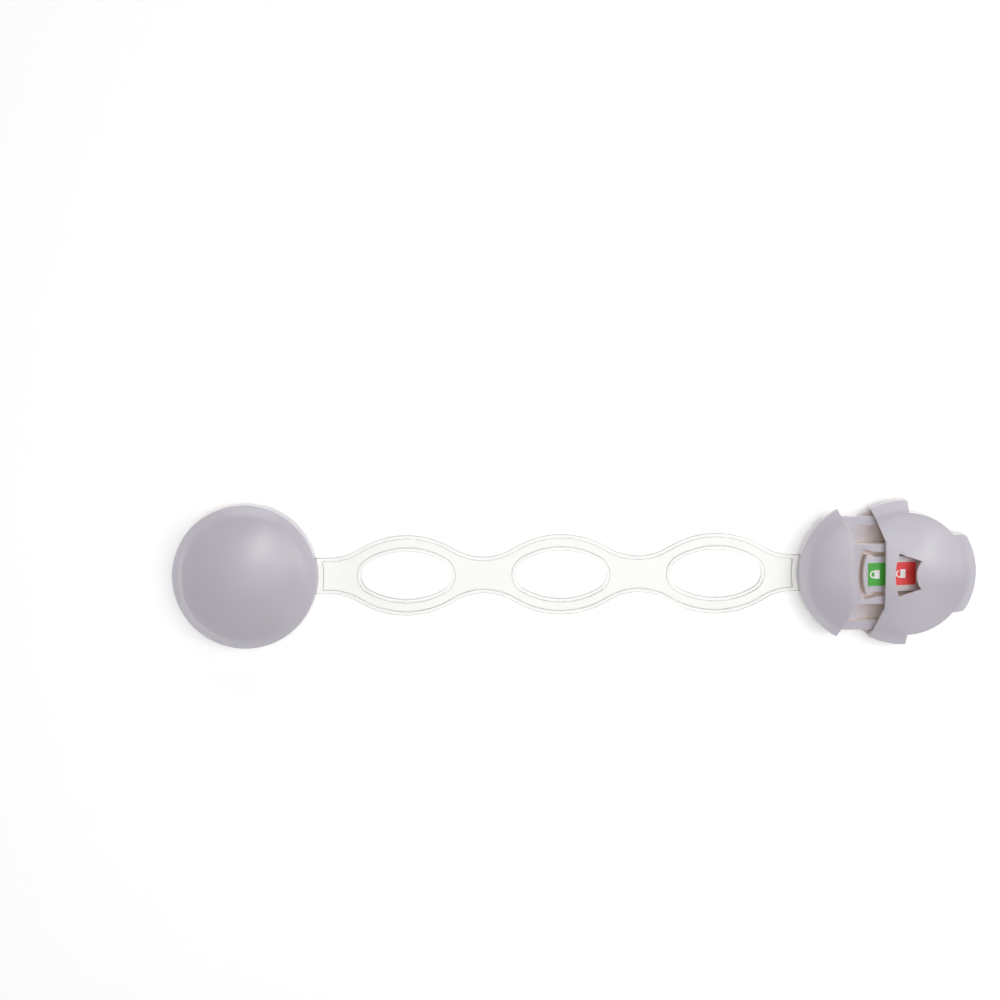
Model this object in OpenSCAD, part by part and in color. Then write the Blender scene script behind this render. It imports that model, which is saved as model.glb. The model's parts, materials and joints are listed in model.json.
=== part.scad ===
// Multi-purpose cabinet safety lock: a clear strap between a round anchor button and a round
// latch head with a sliding cover, drawn with the cover open.
// The origin is the centre of the latch head, on the surface it is stuck to.
// +X runs from the anchor to the latch, the way the cover opens. +Z stands out of the surface.

/* [Heads] */
// Diameter of the latch head and of the anchor button
head_d = 40; // [39:0.5:42]
// Height of the domes above the surface
head_h = 11.5; // [11.3:0.1:12.5]
// Rise of the domes above their shoulder band
dome_rise = 3; // [2.4:0.1:3.2]
// Width of the sloped shoulder band round a dome
band_w = 2.7; // [2.3:0.1:2.9]
// Slope of the shoulder band, in degrees
band_angle = 42; // [38:1:44]
// Rounding between the shoulder band and the side wall
edge_round = 1.2; // [0.8:0.1:1.4]
// Thickness of the dome shells
shell_t = 1.5; // [1.4:0.1:1.6]
// Thickness of the side walls
wall_t = 1.8; // [1.7:0.05:1.9]

/* [Mounting] */
// Thickness of the adhesive foam pads
pad_t = 0.8; // [0.6:0.1:0.9]
// Thickness of the mounting plate and of the anchor base
plate_t = 1.4; // [1.2:0.1:1.5]
// Thickness of the latch floor and of the strap seats
floor_t = 1.2; // [1.1:0.1:1.3]
// Width of a hook and of the lug that slides under it
hook_w = 3; // [2.4:0.1:3.2]
// Thickness of a hook's post and of its lip
hook_t = 2; // [1.8:0.1:2.1]

/* [Strap] */
// Number of oval holes
strap_holes = 3; // [2:1:5]
// Distance from the latch to the first oval, and from oval to oval
strap_pitch = 42.6; // [42:0.2:48]
// Extra length of the strap between the last oval and the anchor
anchor_lead = 2; // [0:0.1:6]
// Thickness of the strap at its rims
strap_t = 1.8; // [1.4:0.1:1.9]
// Width across a lobe
lobe_w = 22.3; // [21:0.1:25]
// Width across a neck
neck_w = 10; // [9:0.1:10.4]
// Outline radius of a lobe
lobe_r = 24.5; // [22:0.5:27]
// Length of an oval hole
hole_l = 25; // [20:0.5:27]
// Width of an oval hole
hole_w = 13.4; // [11:0.2:14]
// End radius of an oval hole
hole_end_r = 4.6; // [4:0.1:5]
// Width of the raised rims
rim_w = 1; // [0.6:0.05:1.2]
// Height of the raised rims
rim_h = 0.35; // [0.2:0.05:0.4]

/* [Sliding cover] */
// Travel of the cover between closed and open
slide_travel = 8.8; // [8:0.1:9.2]
// Depth of the grip notches between the wings and the tail
notch_d = 3.1; // [2.8:0.1:3.3]
// Width of the tail
tail_w = 21.4; // [20:0.2:22.4]
// Corner radius of the tail
tail_round = 2.5; // [2.2:0.1:3]
// Width of the strip of cover in front of the window
strip_w = 2.5; // [2.2:0.1:2.8]
// Width of the island beside the window's wide side
window_land = 2.2; // [2:0.05:2.4]
// Length of the window along its slanted sides
window_l = 6.2; // [5:0.1:6.4]

/* [Latch body] */
// Width of the side pockets that the hooks stand in
pocket_w = 5; // [4.8:0.1:5.2]
// Width of the rail flanges over the cover's lips
flange_w = 1.1; // [1:0.1:1.3]
// Thickness of the rail webs
web_t = 1; // [0.8:0.1:1.1]
// Width of the ledge beside the fixed dome, where the sliding dome comes to rest
ledge_w = 0.9; // [0.6:0.1:1.2]
// Corner radius of the side pockets beside the island
pocket_round = 1.1; // [0.6:0.1:1.4]
// Radius of the strap posts
post_r = 2.1; // [1.8:0.1:2.3]

/* [Release tongue] */
// Thickness of the tongue
tongue_t = 1.6; // [1.2:0.1:1.7]
// Width of the groove round the tongue
groove_w = 1.3; // [1:0.1:1.4]
// Radius of the tongue's curved front edge
fan_r = 17.5; // [15:0.5:25]
// Corner radius of the tongue's head
corner_r = 0.4; // [0.2:0.05:0.6]

/* [Fits] */
// Running gap between the sliding cover and the head
slide_gap = 0.3; // [0.2:0.05:0.35]
// Seam between the fixed and the sliding dome
seam_gap = 0.25; // [0.2:0.05:0.4]
// Radial gap of the tongue's pivots
pivot_gap = 0.06; // [0.03:0.01:0.08]
// Play of the strap in its slots and on its posts
strap_gap = 0.1; // [0.05:0.05:0.2]

/* [Hidden] */
$fn = 96;

plastic = [0.77, 0.75, 0.80];
clear = [0.93, 0.95, 0.93, 0.6];
foam = [0.96, 0.96, 0.95];

// Radii and half widths of the heads
head_r = head_d / 2;
inner_r = head_r - wall_t;
anchor_x = -(strap_holes + 1) * strap_pitch - anchor_lead;
notch_wall = 0.9;
notch_r = head_r - notch_d;
notch_in = notch_r - notch_wall;
core_r = notch_in - slide_gap;
rail_y = core_r;
lip_y = rail_y - flange_w;
web_y = lip_y - slide_gap - 0.1;
pocket_y = web_y - web_t;
island_y = pocket_y - pocket_w;
hook_y = (island_y + pocket_y) / 2;
bearing_y = island_y - 1.5;

// Strap, whose ends run into slots in the walls of the heads
wave_a = 2 * atan((lobe_w - neck_w) / strap_pitch);
neck_r = strap_pitch / 2 / sin(wave_a) - lobe_r;
tab_y = neck_w / 2;
flare = max(0, head_r - strap_pitch / 2);
slot_y = tab_y + strap_gap + neck_r - sqrt(neck_r * neck_r - flare * flare);
post_x = inner_r - post_r - 1.9;
panel_r = head_r + 1.8;

// Inside of the head along X, from the strap's end to the far bearings
bulk_x = tab_y + 0.5 - post_x;
rail_x = 9 - head_r;
pin_r = 1.4;
pin_y = (slot_y + lip_y) / 2;
pin_x = -sqrt(pow(inner_r - 2.5 * pin_r, 2) - pin_y * pin_y);
lip_r = head_r - 0.4;
ring_x = -sqrt(lip_r * lip_r - lip_y * lip_y) - slide_gap - 0.05;
hinge_x = head_r - 5.2;
island_end = hinge_x + 1.6;
island_knee = hinge_x - 10.8;
hook_corner = hook_y + hook_w / 2 + slide_gap;
hook_x = sqrt(core_r * core_r - hook_corner * hook_corner) - 2 * hook_t - slide_gap - 0.9;
lug_x = hook_x + hook_t + slide_gap;
lip_end = hook_x + 2 * hook_t;
ramp_end = hook_x - 0.8;

// Seam between the two domes; past the knees it leans back to clear the rails
seam_knee = island_y + 1;
seam_lean = 22.5;
seam_x = 0.6 - sqrt(inner_r * inner_r - rail_y * rail_y) + (rail_y - seam_knee) * tan(seam_lean);
window_x = seam_x + seam_gap + strip_w;

// Shoulder profile of a dome
band_in = head_r - band_w;
dome_r = (band_in * band_in + dome_rise * dome_rise) / (2 * dome_rise);
band_level = dome_z(band_in) * cos(band_angle) + band_in * sin(band_angle);
edge_z = (band_level - edge_round - (head_r - edge_round) * sin(band_angle)) / cos(band_angle);
blend_x = band_in + 0.45;
blend_z = (band_level - blend_x * sin(band_angle)) / cos(band_angle);
blend_rise = 3 * tan((band_angle + asin(band_in / dome_r)) / 2);

// Levels above the surface; what fits under a dome follows it, in steps of the room over the seats
plate_top = pad_t + plate_t;
seat_z = plate_top + floor_t;
strap_top = seat_z + strap_t;
step = (head_h - seat_z) / 81;
rail_top = head_h - 5.3;
cover_z = rail_top - 20 * step;
wall_z = pad_t + 0.2;
island_top = dome_z(norm([seam_x, island_y])) - shell_t - slide_gap;
hinge_z = island_top - 35 * step;
island_low = hinge_z + 1.1;
lug_z = seat_z + 9 * step;
hook_h = island_top - 17 * step;
hook_lip = 12 * step;
lip_z = cover_z - 1.6;
tall = 2 * head_h;

// Tongue, measured from its pivot
tip_gap = 0.5;
tongue_len = 1.025 * (hinge_x - window_x - tip_gap);
tongue_top = 1;
tongue_tilt = asin((island_top + 0.4 - hinge_z - tongue_top) / tongue_len);
window_half = island_y - window_land;
window_taper = 0.345;
head_half = window_half - 0.45;
neck_half = head_half - 0.7;
knee_x = 3.2 - tongue_len;
knee_r = 2;
groove_floor = tongue_top + 0.3;
pivot_r = 0.75;
pivot_y = neck_half + 1.25;
mark_w = 1.3 * neck_half;
mark_t = 0.15;

// Anchor button
plug_r = 3;
plug_top = head_h - shell_t - 2.3;

function dome_z(r) = head_h - dome_r + sqrt(dome_r * dome_r - r * r);

function shoulder(z) = concat(
    [[0, z], [head_r, z]],
    [for (i = [0:6])
        let (a = 90 - i * (90 - band_angle) / 6)
        [head_r - edge_round + edge_round * sin(a), edge_z + edge_round * cos(a)]],
    [[blend_x, blend_z], [blend_x - 3, blend_z + blend_rise],
        [blend_x - 3, head_h + 1], [0, head_h + 1]]);

function unit(v) = v / norm(v);

// Arc of the given radius in the corner between two straight edges
function corner(before, at, after, radius) =
    let (u = unit(before - at), v = unit(after - at), half = acos(u * v) / 2, sweep = 180 - 2 * half,
        middle = at + unit(u + v) * radius / sin(half),
        from = at + u * radius / tan(half) - middle,
        to = at + v * radius / tan(half) - middle)
    [for (k = [0:6])
        middle + (from * sin(sweep * (1 - k / 6)) + to * sin(sweep * k / 6)) / sin(sweep)];

// Outline from points with a corner radius each, [x, y, radius]
function rounded(points) =
    let (count = len(points), flat = [for (p = points) [p[0], p[1]]])
    [for (i = [0:count - 1])
        each points[i][2] == 0 ? [flat[i]]
            : corner(flat[(i + count - 1) % count], flat[i], flat[(i + 1) % count], points[i][2])];

// Solid domed head, from the level z up
module head_form(z) {
    intersection() {
        translate([0, 0, head_h - dome_r])
            sphere(r = dome_r, $fn = 180);
        rotate_extrude($fn = 180)
            polygon(shoulder(z));
    }
}

// Everything under a sphere that lies the given depth inside the dome
module under_dome(depth) {
    translate([0, 0, head_h - dome_r])
        sphere(r = dome_r - depth, $fn = 180);
}

module prism() {
    translate([0, 0, -2])
        linear_extrude(tall)
            children();
}

// Plan of the fixed side of the head, moved along X
module fixed_side(shift) {
    far_y = 1.5 * head_r;
    far_x = seam_x - (far_y - seam_knee) * tan(seam_lean);
    translate([shift, 0])
        polygon([[-3 * head_r, -far_y], [far_x, -far_y], [seam_x, -seam_knee],
            [seam_x, seam_knee], [far_x, far_y], [-3 * head_r, far_y]]);
}

// Boss and pins under a dome reach up into its shell
module hung() {
    intersection() {
        under_dome(shell_t / 2);
        children();
    }
}

// Upper edge of a neck and of a lobe, from +X to -X, drawn in by inset
function neck_edge(i, from, to, inset) = [for (k = [0:8])
    let (a = from + (to - from) * k / 8)
    [(neck_r + inset) * sin(a) - (i + 0.5) * strap_pitch,
        neck_w / 2 + neck_r - (neck_r + inset) * cos(a)]];

function lobe_edge(i, inset) = [for (k = [1:11])
    let (a = wave_a - wave_a * k / 6)
    [(lobe_r - inset) * sin(a) - i * strap_pitch,
        lobe_w / 2 - lobe_r + (lobe_r - inset) * cos(a)]];

function end_edge(x, start, inset) = [for (k = [0:8])
    let (a = start + 90 * k / 8)
    [x + (tab_y - inset) * cos(a), (tab_y - inset) * sin(a)]];

function strap_edge(inset) = concat(
    end_edge(-post_x, 0, inset),
    [for (i = [0:strap_holes])
        let (from = i == 0 ? 0 : wave_a, to = i == strap_holes ? 0 : -wave_a)
        each concat(neck_edge(i, from, to, inset), i < strap_holes ? lobe_edge(i + 1, inset) : [])],
    end_edge(anchor_x + post_x, 90, inset));

// Wavy outline of the strap with its rounded ends, drawn in by inset
module strap_outline(inset) {
    edge = strap_edge(inset);
    last = len(edge) - 1;
    polygon(concat(edge, [for (k = [1:last - 1]) [edge[last - k][0], -edge[last - k][1]]]));
}

// Oval of four arcs, grown by grow
module oval(grow) {
    end_x = hole_l / 2 - hole_end_r;
    half_w = hole_w / 2;
    flank_r = (half_w * half_w + end_x * end_x - hole_end_r * hole_end_r) / (2 * (half_w - hole_end_r));
    turn = atan(end_x / (flank_r - half_w));
    half = concat(
        [for (k = [0:12])
            let (a = turn + (180 - 2 * turn) * k / 12)
            [end_x + (hole_end_r + grow) * sin(a), (hole_end_r + grow) * cos(a)]],
        [for (k = [1:7])
            let (a = 180 - turn + 2 * turn * k / 8)
            [(flank_r + grow) * sin(a), flank_r - half_w + (flank_r + grow) * cos(a)]]);
    polygon(concat(half, [for (point = half) -point]));
}

// Clear strap with raised rims along its edges and round its ovals
module strap() {
    color(clear)
        difference() {
            translate([0, 0, seat_z])
                linear_extrude(strap_t)
                    strap_outline(0);
            for (level = [seat_z - 1, strap_top - rim_h])
                translate([0, 0, level])
                    linear_extrude(1 + rim_h)
                        strap_panel();
            translate([0, 0, seat_z - 2])
                linear_extrude(strap_t + 4)
                    for (i = [1:strap_holes])
                        translate([-i * strap_pitch, 0])
                            oval(0);
            for (x = [-post_x, anchor_x + post_x])
                translate([x, 0, seat_z - 2])
                    cylinder(r = post_r + strap_gap, h = strap_t + 4);
        }
}

module strap_panel() {
    difference() {
        strap_outline(rim_w);
        for (i = [1:strap_holes])
            translate([-i * strap_pitch, 0])
                oval(rim_w);
        for (x = [0, anchor_x])
            translate([x, 0])
                circle(panel_r);
    }
}

// Round foam pad that sticks the latch's mounting plate down
module latch_adhesive_pad() {
    color(foam)
        cylinder(r = web_y, h = pad_t);
}

// Mounting plate with two hooks whose lips point along +X
module mount_plate() {
    color(plastic) {
        translate([0, 0, pad_t])
            cylinder(r = web_y, h = plate_t);
        for (side = [-1, 1])
            translate([hook_x, side * hook_y, 0])
                rotate([90, 0, 0])
                    linear_extrude(hook_w, center = true)
                        polygon([[0, pad_t + 0.2], [hook_t, pad_t + 0.2], [hook_t, hook_h - hook_lip],
                            [2 * hook_t, hook_h - hook_lip], [2 * hook_t, hook_h - 0.4],
                            [2 * hook_t - 0.8, hook_h], [0, hook_h]]);
    }
}

// Groove round the tongue, cut in the tongue's plane to a floor just under it
module groove() {
    on_tongue()
        translate([0, 0, -groove_floor])
            linear_extrude(tall) {
                polygon(rounded(fan_outline(groove_w, -2.4)));
                translate([-3, -neck_half - 0.2])
                    square([head_r, 2 * neck_half + 0.4]);
            }
}

// Frame of the latch head
module latch_body() {
    color(plastic)
        difference() {
            union() {
                latch_floor();
                latch_wall();
                latch_rails();
                intersection() {
                    under_dome(shell_t + slide_gap);
                    union() {
                        pocket_ramps();
                        latch_island();
                    }
                }
                translate([-post_x, 0, plate_top])
                    cylinder(r = post_r, h = strap_top - plate_top);
                for (side = [-1, 1])
                    translate([pin_x, side * pin_y, plate_top])
                        cylinder(r = pin_r + 1.2, h = rail_top - plate_top);
            }
            groove();
            for (side = [-1, 1]) {
                translate([hook_x - slide_gap, side * hook_y - hook_w / 2 - slide_gap, 0])
                    cube([2 * hook_t + 2 * slide_gap, hook_w + 2 * slide_gap, seat_z + 1]);
                translate([pin_x, side * pin_y, seat_z])
                    cylinder(r = pin_r + 0.05, h = tall);
            }
            translate([hinge_x, 0, hinge_z])
                rotate([90, 0, 0])
                    cylinder(r = pivot_r + pivot_gap, h = 2 * pivot_y + 0.4, center = true);
            translate([-head_r - 1, -slot_y, seat_z])
                cube([wall_t + 3.4, 2 * slot_y, 4]);
        }
}

module latch_floor() {
    translate([0, 0, plate_top])
        linear_extrude(floor_t)
            intersection() {
                union() {
                    circle(core_r);
                    intersection() {
                        circle(inner_r);
                        translate([-head_r, -head_r])
                            square([head_r, 2 * head_r]);
                    }
                }
                square([2 * head_r, 2 * web_y], center = true);
            }
}

// Low wall under the fixed dome, with the strap slot
module latch_wall() {
    translate([0, 0, wall_z])
        linear_extrude(cover_z - wall_z)
            intersection() {
                difference() {
                    circle(head_r);
                    circle(inner_r - 0.7);
                }
                translate([ring_x - head_r, -head_r])
                    square([head_r, 2 * head_r]);
            }
}

// Two flanged rails that the sliding cover grips from below
module latch_rails() {
    for (level = [[plate_top, web_y], [cover_z, rail_y]])
        translate([0, 0, level[0]])
            linear_extrude(rail_top - level[0])
                for (side = [-1, 1])
                    intersection() {
                        union() {
                            circle(core_r);
                            translate([rail_x, -rail_y])
                                square([-rail_x, 2 * rail_y]);
                        }
                        circle(inner_r - slide_gap);
                        translate([rail_x, side > 0 ? pocket_y : -level[1]])
                            square([2 * head_r, level[1] - pocket_y]);
                    }
}

// Plan of a side pocket; its near end follows the seam, a ledge's width away from it
module pocket_plan() {
    near = seam_x + ledge_w;
    lean = tan(seam_lean);
    polygon(rounded([[near - (island_y - seam_knee) * lean, island_y, pocket_round],
        [near - (pocket_y - seam_knee) * lean, pocket_y, pocket_round / 2],
        [head_r, pocket_y, 0], [head_r, island_y, 0]]));
}

// Ramps that fall in a hollow curve from the ledges beside the fixed dome to the pockets' floor
module pocket_ramps() {
    run = ramp_end - seam_x - ledge_w + (pocket_y - seam_knee) * tan(seam_lean);
    fall = rail_top - seat_z;
    scoop_r = (run * run + fall * fall) / (2 * fall);
    inner = island_y - 0.5;
    for (side = [0, 1])
        mirror([0, side, 0])
            difference() {
                translate([bulk_x, inner, plate_top])
                    cube([ramp_end - bulk_x, pocket_y - inner, island_top - plate_top]);
                intersection() {
                    prism()
                        pocket_plan();
                    translate([ramp_end, 0, seat_z + scoop_r])
                        rotate([-90, 0, 0])
                            cylinder(r = scoop_r, h = head_r, $fn = 180);
                }
            }
}

// Raised island between the pockets, with the tongue's bearings at its far end
module latch_island() {
    intersection() {
        rotate([90, 0, 0])
            linear_extrude(2 * island_y, center = true)
                polygon([[bulk_x, plate_top], [island_end, plate_top], [island_end, island_low],
                    [island_knee, island_top], [bulk_x, island_top]]);
        prism() {
            translate([bulk_x - 1, -island_y])
                square([hinge_x - 2.8 + 1 - bulk_x, 2 * island_y]);
            translate([hinge_x - 3.8, -bearing_y])
                square([head_r, 2 * bearing_y]);
        }
    }
}

// Fixed half of the dome
module fixed_cover() {
    color(plastic) {
        difference() {
            intersection() {
                head_form(cover_z);
                prism()
                    fixed_side(0);
            }
            intersection() {
                under_dome(shell_t);
                translate([0, 0, -1])
                    cylinder(r = inner_r, h = tall);
            }
            translate([-head_r - 1, -slot_y, 0])
                cube([wall_t + 4.2, 2 * slot_y, strap_top + strap_gap]);
        }
        hung() {
            translate([-post_x, 0, strap_top])
                cylinder(r = post_r + 1.3, h = tall);
            for (side = [-1, 1])
                translate([pin_x, side * pin_y, seat_z + 0.3])
                    cylinder(r = pin_r, h = tall);
        }
    }
}

// Plan of the tail, drawn in by inset; its far end runs on past the head's edge
module tail_plan(inset) {
    corner_y = tail_w / 2 - tail_round;
    corner_x = sqrt((head_r - tail_round) * (head_r - tail_round) - corner_y * corner_y) + 0.06;
    turn = atan(corner_y / corner_x);
    far_x = 1.4 * head_r;
    upper = concat(
        [[0, tail_w / 2 - inset]],
        [for (k = [0:8])
            let (a = 90 - (90 - turn) * k / 8)
            [corner_x + (tail_round - inset) * cos(a), corner_y + (tail_round - inset) * sin(a)]],
        [[far_x, far_x * tan(turn)]]);
    last = len(upper) - 1;
    polygon(concat(upper, [for (k = [0:last]) [upper[last - k][0], -upper[last - k][1]]]));
}

// Plan of the sliding cover: a core disc, two wings and the tail
module slide_plan(core, wing, wing_end, inset) {
    circle(core);
    intersection() {
        circle(wing);
        union() {
            translate([wing_end - 2 * head_r, -head_r - 2])
                square([2 * head_r, 2 * head_r + 4]);
            tail_plan(inset);
        }
    }
}

// Fan-shaped window over the tongue's head
module window_plan() {
    bulge = 6.1;
    near = window_x + 1;
    far = near + window_l;
    narrow = window_half - (window_l + 1) * window_taper;
    intersection() {
        translate([window_x + fan_r, 0])
            circle(fan_r, $fn = 180);
        difference() {
            polygon([[near - 2, window_half + 2 * window_taper], [far + 1, narrow],
                [far + 1, -narrow], [near - 2, -window_half - 2 * window_taper]]);
            translate([far - 1.4 + bulge, 0])
                circle(bulge);
        }
    }
}

// Sliding half of the dome, moved to its open position
module slide_cover() {
    color(plastic)
        translate([slide_travel, 0, 0])
            difference() {
                union() {
                    difference() {
                        intersection() {
                            head_form(wall_z);
                            prism()
                                slide_plan(notch_r, head_r + 1, 0.8, 0);
                            prism()
                                difference() {
                                    square(5 * head_r, center = true);
                                    fixed_side(seam_gap);
                                }
                        }
                        intersection() {
                            under_dome(shell_t);
                            prism()
                                slide_plan(notch_in, inner_r, -0.8, wall_t);
                        }
                    }
                    slide_lips();
                    slide_lugs();
                }
                translate([0, 0, hinge_z])
                    linear_extrude(tall)
                        window_plan();
            }
}

// Lower rails of the sliding cover, which run under the flanges of the latch rails
module slide_lips() {
    for (level = [[wall_z, inner_r], [lip_z, 0]])
        translate([0, 0, level[0]])
            linear_extrude(cover_z - slide_gap - level[0])
                for (side = [-1, 1])
                    intersection() {
                        difference() {
                            circle(lip_r);
                            circle(level[1]);
                        }
                        translate([0.8 - 2 * head_r, side > 0 ? lip_y : -lip_y - head_r])
                            square([2 * head_r, head_r]);
                    }
}

// Lugs that pass under the hooks' lips when the cover closes
module slide_lugs() {
    lug_top = hook_h - hook_lip - slide_gap;
    near = lip_end + 0.5;
    far = near + 1.3;
    for (side = [-1, 1])
        translate([0, side * hook_y, 0])
            intersection() {
                translate([0, -side * hook_y, 0])
                    under_dome(shell_t / 2);
                rotate([90, 0, 0])
                    linear_extrude(hook_w, center = true)
                        polygon([[lug_x, lug_z], [far, lug_z], [far, tall], [near, tall],
                            [near, lug_top], [lug_x, lug_top]]);
            }
}

// Places the tongue's parts in its tilted plane
module on_tongue() {
    translate([hinge_x, 0, hinge_z])
        rotate([0, tongue_tilt, 0])
            children();
}

// Outline of the tongue from its fan-shaped head to its root, grown by grow
function fan_outline(grow, root) =
    let (half = head_half + 1.2 * grow, neck = neck_half + grow, radius = fan_r + grow,
        sweep = asin(half / radius), round = corner_r + 0.7 * grow)
    concat(
        [for (k = [-4:4])
            let (a = sweep * k / 4)
            [radius * (1 - cos(a)) - tongue_len - grow, radius * sin(a), abs(k) == 4 ? round : 0]],
        [[knee_x, neck, knee_r], [root, neck, 0], [root, -neck, 0], [knee_x, -neck, knee_r]]);

// Press tongue with a fan-shaped head and a pivot at its root
module release_tongue() {
    color(plastic)
        on_tongue() {
            translate([0, 0, tongue_top - tongue_t])
                linear_extrude(tongue_t)
                    polygon(rounded(fan_outline(0, 0)));
            rotate([90, 0, 0])
                cylinder(r = tongue_top, h = 2 * neck_half - 0.1, center = true);
            rotate([90, 0, 0])
                cylinder(r = pivot_r, h = 2 * pivot_y, center = true);
        }
}

// Flat colour mark on the tongue, between two shares of the way from the pivot to the tip
module mark(near, far) {
    on_tongue()
        translate([-far * tongue_len, -mark_w / 2, tongue_top])
            cube([(far - near) * tongue_len, mark_w, mark_t]);
}

module locked_label() {
    color([0.15, 0.6, 0.2])
        mark(0.557, 0.927);
}

module unlocked_label() {
    color([0.85, 0.2, 0.18])
        mark(0.17, 0.512);
}

// Round base of the anchor button with the strap seat, its post and a plug for the cap
module anchor_base() {
    edge = 0.25;
    spigot = 0.8;
    color(plastic)
        translate([anchor_x, 0, 0]) {
            translate([0, 0, pad_t])
                cylinder(r = head_r, h = plate_t - edge);
            translate([0, 0, plate_top - edge])
                cylinder(r1 = head_r, r2 = head_r - edge, h = edge);
            translate([0, 0, plate_top - 0.5])
                linear_extrude(floor_t + 0.5)
                    intersection() {
                        circle(head_r - edge);
                        translate([post_x - 6, -tab_y])
                            square([head_r, 2 * tab_y]);
                    }
            translate([0, 0, plate_top - 0.5])
                linear_extrude(spigot + 0.5)
                    difference() {
                        circle(inner_r - 0.2);
                        circle(inner_r - 1.6);
                    }
            translate([post_x, 0, plate_top])
                cylinder(r = post_r, h = strap_top - plate_top);
            translate([0, 0, plate_top - 0.5])
                cylinder(r = plug_r, h = plug_top - plate_top + 0.5);
        }
}

// Domed cap of the anchor button
module anchor_cap() {
    color(plastic)
        translate([anchor_x, 0, 0])
            difference() {
                union() {
                    difference() {
                        head_form(plate_top);
                        intersection() {
                            under_dome(shell_t);
                            translate([0, 0, -1])
                                cylinder(r = inner_r, h = tall);
                        }
                        translate([head_r - wall_t - 3.2, -slot_y, 0])
                            cube([wall_t + 4.2, 2 * slot_y, strap_top + strap_gap]);
                    }
                    hung() {
                        translate([post_x, 0, strap_top])
                            cylinder(r = post_r + 1.3, h = tall);
                        translate([0, 0, plate_top + 1.5])
                            cylinder(r = plug_r + 1.6, h = tall);
                    }
                }
                cylinder(r = plug_r + 0.05, h = plug_top + 0.3);
            }
}

// Round foam pad that sticks the anchor base down
module anchor_adhesive_pad() {
    color(foam)
        translate([anchor_x, 0, 0])
            cylinder(r = head_r - 1.5, h = pad_t);
}

latch_adhesive_pad();
mount_plate();
latch_body();
fixed_cover();
slide_cover();
release_tongue();
locked_label();
unlocked_label();
strap();
anchor_base();
anchor_cap();
anchor_adhesive_pad();
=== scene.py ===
"""The looks of a cabinet safety lock: finishes, rounded edges, printed signs and a plain studio."""
import json
import math
import bmesh
import bpy
from mathutils import Matrix, Vector


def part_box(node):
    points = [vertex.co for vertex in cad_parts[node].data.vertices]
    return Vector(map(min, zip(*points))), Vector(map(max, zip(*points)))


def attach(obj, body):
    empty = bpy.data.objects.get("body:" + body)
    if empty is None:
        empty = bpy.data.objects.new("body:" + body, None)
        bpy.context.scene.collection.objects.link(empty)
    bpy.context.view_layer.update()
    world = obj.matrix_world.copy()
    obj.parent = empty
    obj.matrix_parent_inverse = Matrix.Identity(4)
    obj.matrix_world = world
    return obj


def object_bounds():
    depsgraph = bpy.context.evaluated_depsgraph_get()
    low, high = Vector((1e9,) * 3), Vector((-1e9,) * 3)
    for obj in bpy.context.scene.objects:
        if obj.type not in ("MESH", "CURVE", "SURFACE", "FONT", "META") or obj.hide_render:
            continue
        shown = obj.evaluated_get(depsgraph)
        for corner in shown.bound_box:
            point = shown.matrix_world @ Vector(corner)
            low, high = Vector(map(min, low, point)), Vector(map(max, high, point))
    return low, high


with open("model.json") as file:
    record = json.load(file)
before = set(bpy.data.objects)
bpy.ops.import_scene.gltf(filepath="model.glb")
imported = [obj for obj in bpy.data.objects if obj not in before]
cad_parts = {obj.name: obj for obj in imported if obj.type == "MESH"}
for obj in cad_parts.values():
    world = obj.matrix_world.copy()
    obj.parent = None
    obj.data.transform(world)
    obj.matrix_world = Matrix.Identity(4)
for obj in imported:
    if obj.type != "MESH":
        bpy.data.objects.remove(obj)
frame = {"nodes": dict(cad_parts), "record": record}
cad_low, cad_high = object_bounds()
nodes = frame["nodes"]
scene = bpy.context.scene

MM = 0.001


def add_object(name, data):
    """A new object, in the scene."""
    item = bpy.data.objects.new(name, data)
    scene.collection.objects.link(item)
    return item


def linear(red, green, blue):
    """An sRGB colour in 0..255 as the linear colour that a shader takes."""
    def channel(value):
        share = value / 255
        return share / 12.92 if share <= 0.04045 else ((share + 0.055) / 1.055) ** 2.4
    return (channel(red), channel(green), channel(blue), 1.0)


# Colours
WHITE = linear(255, 255, 255)
GREY = linear(202, 197, 207)
# Painted warm light: a paler, creamier colour that recesses get in place of the plain grey
PAINTED_RECESS_LIGHT = linear(250, 237, 229)
# Painted shade: a darker brown that narrow grooves get
PAINTED_GROOVE_SHADE = linear(196, 163, 152)
CLEAR = linear(243, 243, 240)
# Painted shade: a darker, greener colour on the clear strap's upright faces
PAINTED_EDGE_SHADE = linear(168, 172, 166)
FOAM_WHITE = linear(238, 238, 235)
MARK_GREEN = linear(70, 178, 58)
MARK_RED = linear(245, 64, 62)
PRINT_WHITE = linear(246, 246, 244)

# Noise: patches to the metre, and the range that most of its values lie in
CLOUDS = 60
SMUDGES = 900
GRAIN = 2500
STRAP_CLOUDS = 40
STRAP_SMUDGES = 300
STRAP_WAVES = 150
NOISE_RANGE = (0.3, 0.7)

# Unevenness of the surfaces: its depth in metres, and its strength
GRAIN_DEPTH = 0.02 * MM
GREY_GRAIN = 0.12
MARK_GRAIN = 0.05
FOAM_GRAIN = 0.6
WAVE_DEPTH = 0.03 * MM
WAVE_STRENGTH = 0.1

# Roughness, from the glossiest spots to the dullest
GREY_ROUGHNESS = (0.33, 0.41)
MARK_ROUGHNESS = (0.35, 0.45)
FOAM_ROUGHNESS = (0.8, 0.95)
CLEAR_ROUGHNESS = (0.08, 0.16)

# Painted warm light in recesses and painted shade in narrow grooves: their width, and how open they are
# where the paint is full and where it ends
RECESS_WIDTH = 9 * MM
RECESS_OPENNESS = (0.2, 0.55)
GROOVE_WIDTH = 1.6 * MM
GROOVE_OPENNESS = (0.35, 0.6)

# Upward part of the normal, from faces that count as level to faces that count as upright
SLOPE_RANGE = (0.98, 0.6)


def start_material(name):
    """A new material, with its node tree and its shader."""
    material = bpy.data.materials.new(name)
    material.use_nodes = True
    tree = material.node_tree
    return material, tree, tree.nodes["Principled BSDF"]


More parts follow.
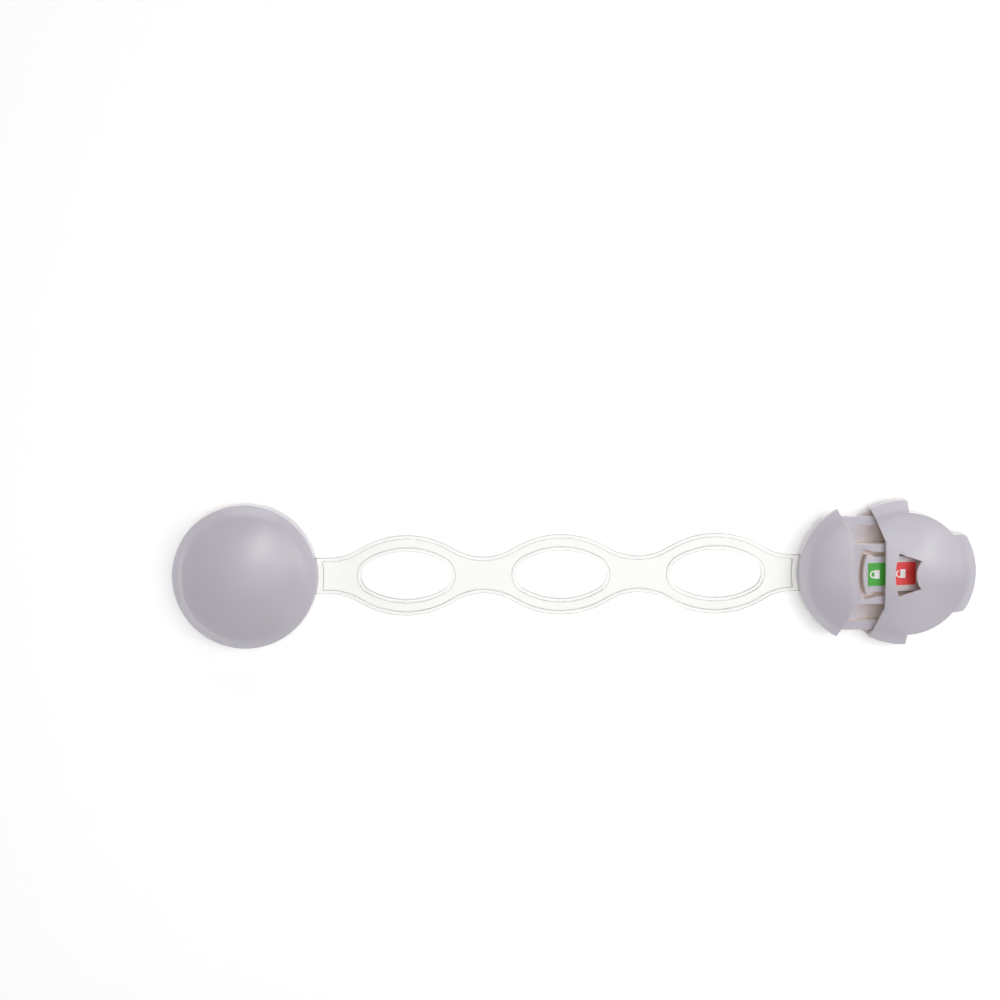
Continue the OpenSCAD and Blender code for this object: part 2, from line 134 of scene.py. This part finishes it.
def set_values(shader, values):
    """Values that are the same all over a surface."""
    for socket, value in values.items():
        shader.inputs[socket].default_value = value


def calculate(tree, operation, *values):
    """The result of one operation on the values of sockets."""
    node = tree.nodes.new("ShaderNodeMath")
    node.operation = operation
    for value, socket in zip(values, node.inputs):
        tree.links.new(value, socket)
    return node.outputs[0]


def remap(tree, value, source, target=(0.0, 1.0)):
    """The value carried from the source range to the target range, and kept within it."""
    node = tree.nodes.new("ShaderNodeMapRange")
    for socket, limit in zip(("From Min", "From Max", "To Min", "To Max"), source + target):
        node.inputs[socket].default_value = limit
    tree.links.new(value, node.inputs["Value"])
    return node.outputs["Result"]


def upward(tree, vector):
    """The Z part of a vector."""
    node = tree.nodes.new("ShaderNodeSeparateXYZ")
    tree.links.new(vector, node.inputs[0])
    return node.outputs["Z"]


def mix_colours(tree, factor, first, second):
    """First where the factor is 0 and second where it is 1. Each is a colour or a socket."""
    node = tree.nodes.new("ShaderNodeMix")
    node.data_type = "RGBA"
    tree.links.new(factor, node.inputs["Factor"])
    sockets = [socket for socket in node.inputs if socket.type == "RGBA"]
    for value, socket in zip((first, second), sockets):
        if isinstance(value, tuple):
            socket.default_value = value
        else:
            tree.links.new(value, socket)
    return next(socket for socket in node.outputs if socket.type == "RGBA")


def noise(tree, scale, detail=2):
    """Noise that follows the piece's own coordinates."""
    place = tree.nodes.new("ShaderNodeTexCoord")
    texture = tree.nodes.new("ShaderNodeTexNoise")
    texture.inputs["Scale"].default_value = scale
    texture.inputs["Detail"].default_value = detail
    tree.links.new(place.outputs["Object"], texture.inputs["Vector"])
    return texture.outputs["Fac"]


def clouded(tree, pattern, colour, dimmest, brightest):
    """The colour in soft clouds, from dimmest to brightest times itself."""
    node = tree.nodes.new("ShaderNodeValToRGB")
    for stop, position, factor in zip(node.color_ramp.elements, NOISE_RANGE, (dimmest, brightest)):
        stop.position = position
        stop.color = [factor * part for part in colour[:3]] + [1.0]
    tree.links.new(pattern, node.inputs["Fac"])
    return node.outputs["Color"]


def roughen(tree, shader, scale, limits):
    """Roughness that wanders between its limits."""
    roughness = remap(tree, noise(tree, scale), NOISE_RANGE, limits)
    tree.links.new(roughness, shader.inputs["Roughness"])


def emboss(tree, shader, scale, depth, strength):
    """Fine unevenness of the surface."""
    node = tree.nodes.new("ShaderNodeBump")
    node.inputs["Distance"].default_value = depth
    node.inputs["Strength"].default_value = strength
    tree.links.new(noise(tree, scale), node.inputs["Height"])
    tree.links.new(node.outputs["Normal"], shader.inputs["Normal"])


def openness(tree, width, limits):
    """1 in the open and 0 deep in a recess of that width."""
    node = tree.nodes.new("ShaderNodeAmbientOcclusion")
    node.samples = 8
    node.inputs["Distance"].default_value = width
    return remap(tree, node.outputs["AO"], limits)


def slope(tree):
    """0 on level faces and 1 on upright ones."""
    geometry = tree.nodes.new("ShaderNodeNewGeometry")
    rise = calculate(tree, "ABSOLUTE", upward(tree, geometry.outputs["Normal"]))
    return remap(tree, rise, SLOPE_RANGE)


def grey_plastic():
    """Satin plastic, with painted warm light that makes recesses paler and creamier, painted brown shade
    in narrow grooves, and a sheen that makes it paler where it is seen edge-on.
    """
    material, tree, shader = start_material("grey_plastic")
    plain = clouded(tree, noise(tree, CLOUDS, detail=3), GREY, dimmest=0.98, brightest=1.02)
    # Painted warm light: recesses found by occlusion get a paler, creamier colour
    with_painted_recess_light = mix_colours(tree, openness(tree, RECESS_WIDTH, RECESS_OPENNESS), PAINTED_RECESS_LIGHT, plain)
    # Painted shade: narrow grooves found by occlusion get a darker brown colour
    with_painted_groove_shade = mix_colours(tree, openness(tree, GROOVE_WIDTH, GROOVE_OPENNESS), PAINTED_GROOVE_SHADE, with_painted_recess_light)
    tree.links.new(with_painted_groove_shade, shader.inputs["Base Color"])
    roughen(tree, shader, SMUDGES, GREY_ROUGHNESS)
    emboss(tree, shader, GRAIN, GRAIN_DEPTH, GREY_GRAIN)
    set_values(shader, {
        "IOR": 1.5,
        "Coat Weight": 0.5,
        "Coat Roughness": 0.18,
        "Sheen Weight": 1.0,
        "Sheen Roughness": 0.3,
        "Subsurface Weight": 0.35,
        "Subsurface Radius": (1.0, 0.6, 0.45),
        "Subsurface Scale": 0.9 * MM,
    })
    return material


def clear_plastic():
    """Clear plastic, with painted shade that makes its upright faces darker and greener."""
    material, tree, shader = start_material("clear_plastic")
    plain = clouded(tree, noise(tree, STRAP_CLOUDS), CLEAR, dimmest=0.985, brightest=1.0)
    # Painted shade: upright faces get a darker, greener colour
    with_painted_edge_shade = mix_colours(tree, slope(tree), plain, PAINTED_EDGE_SHADE)
    tree.links.new(with_painted_edge_shade, shader.inputs["Base Color"])
    roughen(tree, shader, STRAP_SMUDGES, CLEAR_ROUGHNESS)
    emboss(tree, shader, STRAP_WAVES, WAVE_DEPTH, WAVE_STRENGTH)
    set_values(shader, {"Transmission Weight": 1.0, "IOR": 1.45})
    return material


def plain_material(name, colour, roughness, grain):
    """Foam or print, with faint clouds and a fine grain."""
    material, tree, shader = start_material(name)
    plain = clouded(tree, noise(tree, CLOUDS, detail=3), colour, dimmest=0.975, brightest=1.02)
    tree.links.new(plain, shader.inputs["Base Color"])
    roughen(tree, shader, SMUDGES, roughness)
    emboss(tree, shader, GRAIN, GRAIN_DEPTH, grain)
    set_values(shader, {"IOR": 1.46})
    return material


# Finish of each piece, by the record's material slots
finish_of = {
    "grey_plastic": grey_plastic(),
    "clear_strap": clear_plastic(),
    "foam_pad": plain_material("white_foam", FOAM_WHITE, FOAM_ROUGHNESS, FOAM_GRAIN),
    "green_mark": plain_material("green_mark", MARK_GREEN, MARK_ROUGHNESS, MARK_GRAIN),
    "red_mark": plain_material("red_mark", MARK_RED, MARK_ROUGHNESS, MARK_GRAIN),
}
for row in frame["record"]["subparts"]:
    piece = nodes[row["node"]]
    piece.data.materials.clear()
    piece.data.materials.append(finish_of[row["material_slot"]])

# Light crosses the clear strap as if it were not there, so the floor under it stays pale
nodes["strap"].visible_shadow = False
nodes["strap"].visible_diffuse = False

# Rounded edges, as a mould leaves them: their width on each piece
EDGE_WIDTHS = {
    "anchor_cap": 0.12 * MM,
    "anchor_base": 0.1 * MM,
    "fixed_cover": 0.25 * MM,
    "slide_cover": 0.18 * MM,
    "latch_body": 0.2 * MM,
    "release_tongue": 0.15 * MM,
    "strap": 0.15 * MM,
}
SHARP_ANGLE = math.radians(32)
WELD_GAP = 0.001 * MM


def soften(piece, width):
    """Rounds the sharp edges of a piece and shades it smooth."""
    weld = piece.modifiers.new("weld", "WELD")
    weld.merge_threshold = WELD_GAP
    bevel = piece.modifiers.new("bevel", "BEVEL")
    bevel.width = width
    bevel.segments = 2
    bevel.limit_method = "ANGLE"
    bevel.angle_limit = SHARP_ANGLE
    normals = piece.modifiers.new("normals", "WEIGHTED_NORMAL")
    normals.weight = 60
    piece.data.shade_smooth()


for name, width in EDGE_WIDTHS.items():
    soften(nodes[name], width)

# Padlock signs, in metres: places along the sign, the shackle's radii and the body's half width
SHACKLE_X = 1.05 * MM
SHACKLE_OUTER = 1.02 * MM
SHACKLE_INNER = 0.64 * MM
BODY_X = 1.3 * MM
BODY_END = 2.8 * MM
BODY_HALF = 1.18 * MM
PRINT_THICKNESS = 0.02 * MM
PRINT_LIFT = 0.005 * MM
ARC_STEPS = 16

# Least upward part of the normal on a mark's upper side
FACES_UP = 0.9

white_print = plain_material("white_print", PRINT_WHITE, MARK_ROUGHNESS, MARK_GRAIN)


def arc(centre_x, radius, start, stop):
    """Points round (centre_x, 0), from the start angle to the stop angle in degrees."""
    points = []
    for step in range(ARC_STEPS + 1):
        angle = math.radians(start + (stop - start) * step / ARC_STEPS)
        points.append((centre_x + radius * math.cos(angle), radius * math.sin(angle)))
    return points


def add_print(mesh, outline):
    """A thin flat shape of that outline."""
    face = mesh.faces.new([mesh.verts.new((x, y, 0)) for x, y in outline])
    lifted = bmesh.ops.extrude_face_region(mesh, geom=[face])
    for item in lifted["geom"]:
        if isinstance(item, bmesh.types.BMVert):
            item.co.z += PRINT_THICKNESS


def padlock_mesh(name, gap):
    """A padlock with its shackle towards -X, whose +Y leg ends at the gap before the body."""
    mesh = bmesh.new()
    body = [(BODY_X, -BODY_HALF), (BODY_END, -BODY_HALF), (BODY_END, BODY_HALF), (BODY_X, BODY_HALF)]
    add_print(mesh, body)
    leg_end = BODY_X - gap
    shackle = [(leg_end, SHACKLE_OUTER)]
    shackle += arc(SHACKLE_X, SHACKLE_OUTER, 90, 270)
    shackle += [(BODY_X, -SHACKLE_OUTER), (BODY_X, -SHACKLE_INNER)]
    shackle += arc(SHACKLE_X, SHACKLE_INNER, 270, 90)
    shackle += [(leg_end, SHACKLE_INNER)]
    add_print(mesh, shackle)
    bmesh.ops.recalc_face_normals(mesh, faces=mesh.faces)
    data = bpy.data.meshes.new(name)
    mesh.to_mesh(data)
    mesh.free()
    return data


def upper_side(piece):
    """Centre and normal of a mark's upper side."""
    faces = [face for face in piece.data.polygons if face.normal.z > FACES_UP]
    widest = max(faces, key=lambda face: face.area)
    corners = [piece.data.vertices[index].co for face in faces for index in face.vertices]
    return sum(corners, Vector()) / len(corners), widest.normal.copy()


def padlock_sign(name, label, inset, gap):
    """A padlock printed on a mark, at the inset from the mark's -X edge."""
    sign = add_object(name, padlock_mesh(name, gap))
    sign.data.materials.append(white_print)
    centre, normal = upper_side(nodes[label])
    across = Vector((0, 1, 0))
    along = across.cross(normal).normalized()
    label_low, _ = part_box(label)
    shift = (label_low.x + inset - centre.x) / along.x
    place = centre + along * shift + normal * PRINT_LIFT
    turn = Matrix((along, across, normal)).transposed()
    sign.matrix_world = Matrix.Translation(place) @ turn.to_4x4()
    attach(sign, "tongue")


padlock_sign("locked_sign", "locked_label", inset=0.46 * MM, gap=0.0)
padlock_sign("unlocked_sign", "unlocked_label", inset=0.43 * MM, gap=0.5 * MM)

# Floor: its half width, its gap under the part, and its glow near the part and far from it
FLOOR_HALF = 4.0
FLOOR_GAP = 0.02 * MM
FLOOR_GREY = (0.88, 0.88, 0.88, 1.0)
GLOW_DISTANCES = (0.3, 1.5)
GLOW_STRENGTHS = (0.36, 1.0)


def glow_strength(tree):
    """The floor's glow, for rays from the camera, from gloss and through the strap alone."""
    rays = tree.nodes.new("ShaderNodeLightPath").outputs
    seen = calculate(tree, "MAXIMUM", rays["Is Camera Ray"], rays["Is Glossy Ray"])
    seen = calculate(tree, "MAXIMUM", seen, rays["Is Transmission Ray"])
    place = tree.nodes.new("ShaderNodeTexCoord")
    distance = tree.nodes.new("ShaderNodeVectorMath")
    distance.operation = "LENGTH"
    tree.links.new(place.outputs["Object"], distance.inputs[0])
    glow = remap(tree, distance.outputs["Value"], GLOW_DISTANCES, GLOW_STRENGTHS)
    return calculate(tree, "MULTIPLY", seen, glow)


def floor_paper():
    """Matt paper that looks white and keeps the part's shadow."""
    material = bpy.data.materials.new("pale_floor")
    material.use_nodes = True
    tree = material.node_tree
    tree.nodes.clear()
    paper = tree.nodes.new("ShaderNodeBsdfDiffuse")
    paper.inputs["Color"].default_value = FLOOR_GREY
    glow = tree.nodes.new("ShaderNodeEmission")
    both = tree.nodes.new("ShaderNodeAddShader")
    surface = tree.nodes.new("ShaderNodeOutputMaterial")
    tree.links.new(glow_strength(tree), glow.inputs["Strength"])
    tree.links.new(paper.outputs[0], both.inputs[0])
    tree.links.new(glow.outputs[0], both.inputs[1])
    tree.links.new(both.outputs[0], surface.inputs["Surface"])
    return material


def floor_mesh(half):
    """A level square."""
    mesh = bpy.data.meshes.new("floor")
    corners = [(-half, -half, 0), (half, -half, 0), (half, half, 0), (-half, half, 0)]
    mesh.from_pydata(corners, [], [(0, 1, 2, 3)])
    return mesh


floor = add_object("floor", floor_mesh(FLOOR_HALF))
floor.location.z = cad_low.z - FLOOR_GAP
floor.data.materials.append(floor_paper())

# World: the level of its light by height, from the horizon at 0 to straight up at 1
TENT = ((0.0, 0.8), (0.25, 0.8), (0.35, 0.0), (1.0, 0.0))


def tent_world():
    """A tent, bright low down and dark overhead, that the camera sees as plain white."""
    world = bpy.data.worlds.new("tent")
    world.use_nodes = True
    tree = world.node_tree
    direction = tree.nodes.new("ShaderNodeTexCoord")
    sky = tree.nodes.new("ShaderNodeValToRGB")
    stops = sky.color_ramp.elements
    for height, _ in TENT[1:-1]:
        stops.new(height)
    for stop, (_, level) in zip(stops, TENT):
        stop.color = (level, level, level, 1.0)
    tree.links.new(upward(tree, direction.outputs["Generated"]), sky.inputs["Fac"])
    rays = tree.nodes.new("ShaderNodeLightPath").outputs
    shown = mix_colours(tree, rays["Is Camera Ray"], sky.outputs["Color"], WHITE)
    tree.links.new(shown, tree.nodes["Background"].inputs["Color"])
    return world


scene.world = tent_world()

# Points that the lights are aimed at
MIDDLE = (-0.08, 0, 0.005)
ANCHOR = (-0.166, 0.01, 0.01)
LATCH = (0.01, 0, 0.01)


def softbox(name, place, aim, size, watts, beam=180):
    """A rectangular lamp, whose beam opens to that angle in degrees."""
    lamp = bpy.data.lights.new(name, "AREA")
    lamp.shape = "RECTANGLE"
    lamp.size, lamp.size_y = size
    lamp.energy = watts
    lamp.spread = math.radians(beam)
    item = add_object(name, lamp)
    item.location = place
    item.rotation_euler = (Vector(aim) - Vector(place)).to_track_quat("-Z", "Y").to_euler()


# Wide boxes for soft light from all round
softbox("over_box", place=(-0.08, 0.0, 1.9), aim=MIDDLE, size=(1.2, 1.2), watts=5.7)
softbox("key_box", place=(0.395, 0.53, 1.77), aim=MIDDLE, size=(1.2, 1.2), watts=7.6)
softbox("back_box", place=(-0.08, 1.8, 0.6), aim=MIDDLE, size=(1.6, 0.8), watts=6.8)
softbox("left_box", place=(-1.9, 0.0, 0.6), aim=MIDDLE, size=(1.6, 0.8), watts=5.3)
softbox("front_left_box", place=(-1.45, -1.35, 0.33), aim=MIDDLE, size=(1.6, 0.6), watts=3.8)
softbox("front_right_box", place=(0.6, -0.9, 1.2), aim=MIDDLE, size=(0.8, 0.8), watts=2.7)
softbox("latch_box", place=(0.55, 0.1, 0.65), aim=LATCH, size=(0.5, 0.5), watts=1.8)

# Narrow beams for the highlight on each dome
softbox("anchor_strip", place=(-0.115, 0.16, 0.71), aim=ANCHOR, size=(0.12, 0.34), watts=0.018, beam=30)
softbox("latch_strip", place=(0.316, 0.045, 0.69), aim=LATCH, size=(0.2, 0.2), watts=0.016, beam=30)

# Camera, fitted to the photograph
eye = bpy.data.cameras.new("camera")
eye.sensor_width = 36
eye.lens = 69.58
eye.clip_start = 0.01
eye.clip_end = 20
camera = add_object("camera", eye)
camera.location = (-0.09794, 0.08025, 0.53182)
camera.rotation_euler = (-0.11236, 0.00641, -0.00825)
scene.camera = camera

scene.view_settings.view_transform = "Standard"
